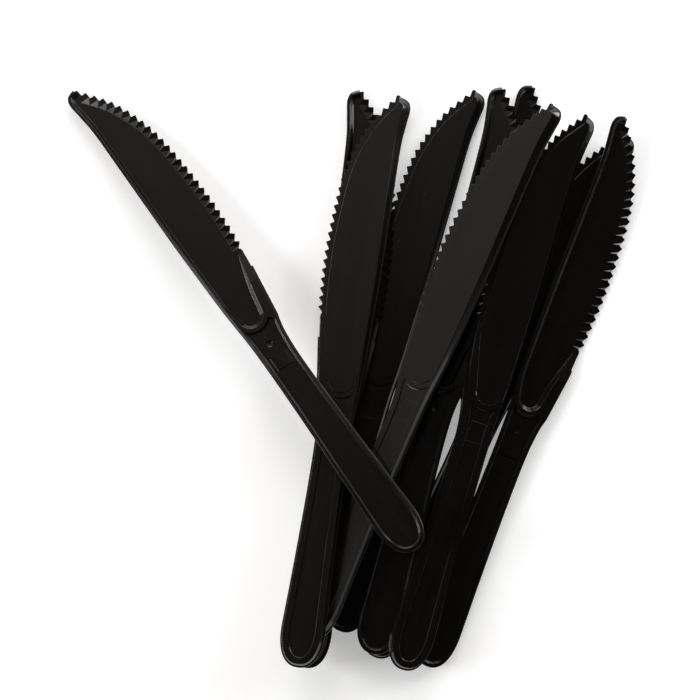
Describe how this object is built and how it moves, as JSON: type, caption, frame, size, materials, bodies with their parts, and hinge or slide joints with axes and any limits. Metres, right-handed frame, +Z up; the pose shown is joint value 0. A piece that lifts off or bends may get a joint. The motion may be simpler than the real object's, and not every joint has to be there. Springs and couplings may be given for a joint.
{
  "type": "plastic cutlery pack",
  "caption": "Fanned pack of black disposable plastic table knives with saw-toothed blades and sunk panels, lying loose one over another.",
  "frame": {"origin": "middle of the bottom of the whole heap's box, on the table", "axes": "+Z up from the table, +Y from the butts of the handles towards the tips of the blades, +X to the right of the fan seen from above"},
  "size_m": [0.1686, 0.1724, 0.0196],
  "materials": {
    "black_plastic": "smooth moulded, black"
  },
  "bodies": {
    "root": {"knife_01": "black_plastic", "knife_02": "black_plastic", "knife_03": "black_plastic", "knife_04": "black_plastic", "knife_05": "black_plastic", "knife_06": "black_plastic", "knife_07": "black_plastic", "knife_08": "black_plastic", "knife_09": "black_plastic", "knife_10": "black_plastic"}
  },
  "joints": []
}
